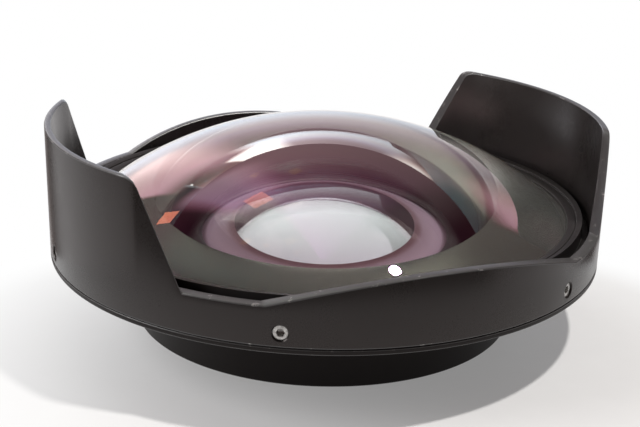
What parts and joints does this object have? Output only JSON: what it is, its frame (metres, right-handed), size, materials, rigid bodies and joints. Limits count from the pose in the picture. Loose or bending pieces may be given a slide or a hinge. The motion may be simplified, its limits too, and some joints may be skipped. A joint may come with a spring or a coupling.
{
  "type": "fisheye lens",
  "caption": "Screw-on fisheye converter lens: large domed front glass in a black barrel, with a petal hood clamped round it by set screws and a rear filter thread.",
  "frame": {"origin": "centre of the rear rim that the lens stands on", "axes": "+Z along the optical axis towards the dome, tall hood petals at +X and -X"},
  "size_m": [0.125, 0.125, 0.046],
  "materials": {
    "hood_black": "satin black anodised",
    "barrel_black": "satin black anodised",
    "ring_black": "satin black anodised",
    "cell_black": "matte black anodised",
    "dome_glass": "polished, purple anti-reflection coating",
    "inner_glass": "polished, anti-reflection coating",
    "seal_rubber": "matte",
    "shim_brass": "rolled sheet",
    "screw_steel": "worn"
  },
  "bodies": {
    "barrel_group": {"barrel": "barrel_black", "front_element": "dome_glass", "front_seat_gasket": "seal_rubber", "front_seal": "seal_rubber", "front_retaining_ring": "ring_black", "optics_cell": "cell_black", "cell_shim": "shim_brass", "second_element": "inner_glass", "second_retaining_ring": "cell_black", "rear_element": "inner_glass", "rear_retaining_ring": "cell_black", "rear_mount_ring": "ring_black", "mount_ring_screws": "screw_steel"},
    "hood": {"petal_hood": "hood_black"},
    "set_screw_1": {"hood_set_screw_1": "screw_steel"},
    "set_screw_2": {"hood_set_screw_2": "screw_steel"},
    "set_screw_3": {"hood_set_screw_3": "screw_steel"},
    "set_screw_4": {"hood_set_screw_4": "screw_steel"},
    "set_screw_5": {"hood_set_screw_5": "screw_steel"},
    "set_screw_6": {"hood_set_screw_6": "screw_steel"}
  },
  "joints": [
    {"name": "hood_turn", "type": "hinge", "parent": "barrel_group", "child": "hood", "pos_m": [0, 0, 0.0203], "axis": [0, 0, 1], "continuous": true},
    {"name": "set_screw_1_back_out", "type": "slide", "parent": "hood", "child": "set_screw_1", "axis": [1, 0, 0], "range_m": [0, 0.0015]},
    {"name": "set_screw_2_back_out", "type": "slide", "parent": "hood", "child": "set_screw_2", "axis": [0.5, 0.866, 0], "range_m": [0, 0.0015]},
    {"name": "set_screw_3_back_out", "type": "slide", "parent": "hood", "child": "set_screw_3", "axis": [-0.5, 0.866, 0], "range_m": [0, 0.0015]},
    {"name": "set_screw_4_back_out", "type": "slide", "parent": "hood", "child": "set_screw_4", "axis": [-1, 0, 0], "range_m": [0, 0.0015]},
    {"name": "set_screw_5_back_out", "type": "slide", "parent": "hood", "child": "set_screw_5", "axis": [-0.5, -0.866, 0], "range_m": [0, 0.0015]},
    {"name": "set_screw_6_back_out", "type": "slide", "parent": "hood", "child": "set_screw_6", "axis": [0.5, -0.866, 0], "range_m": [0, 0.0015]}
  ]
}
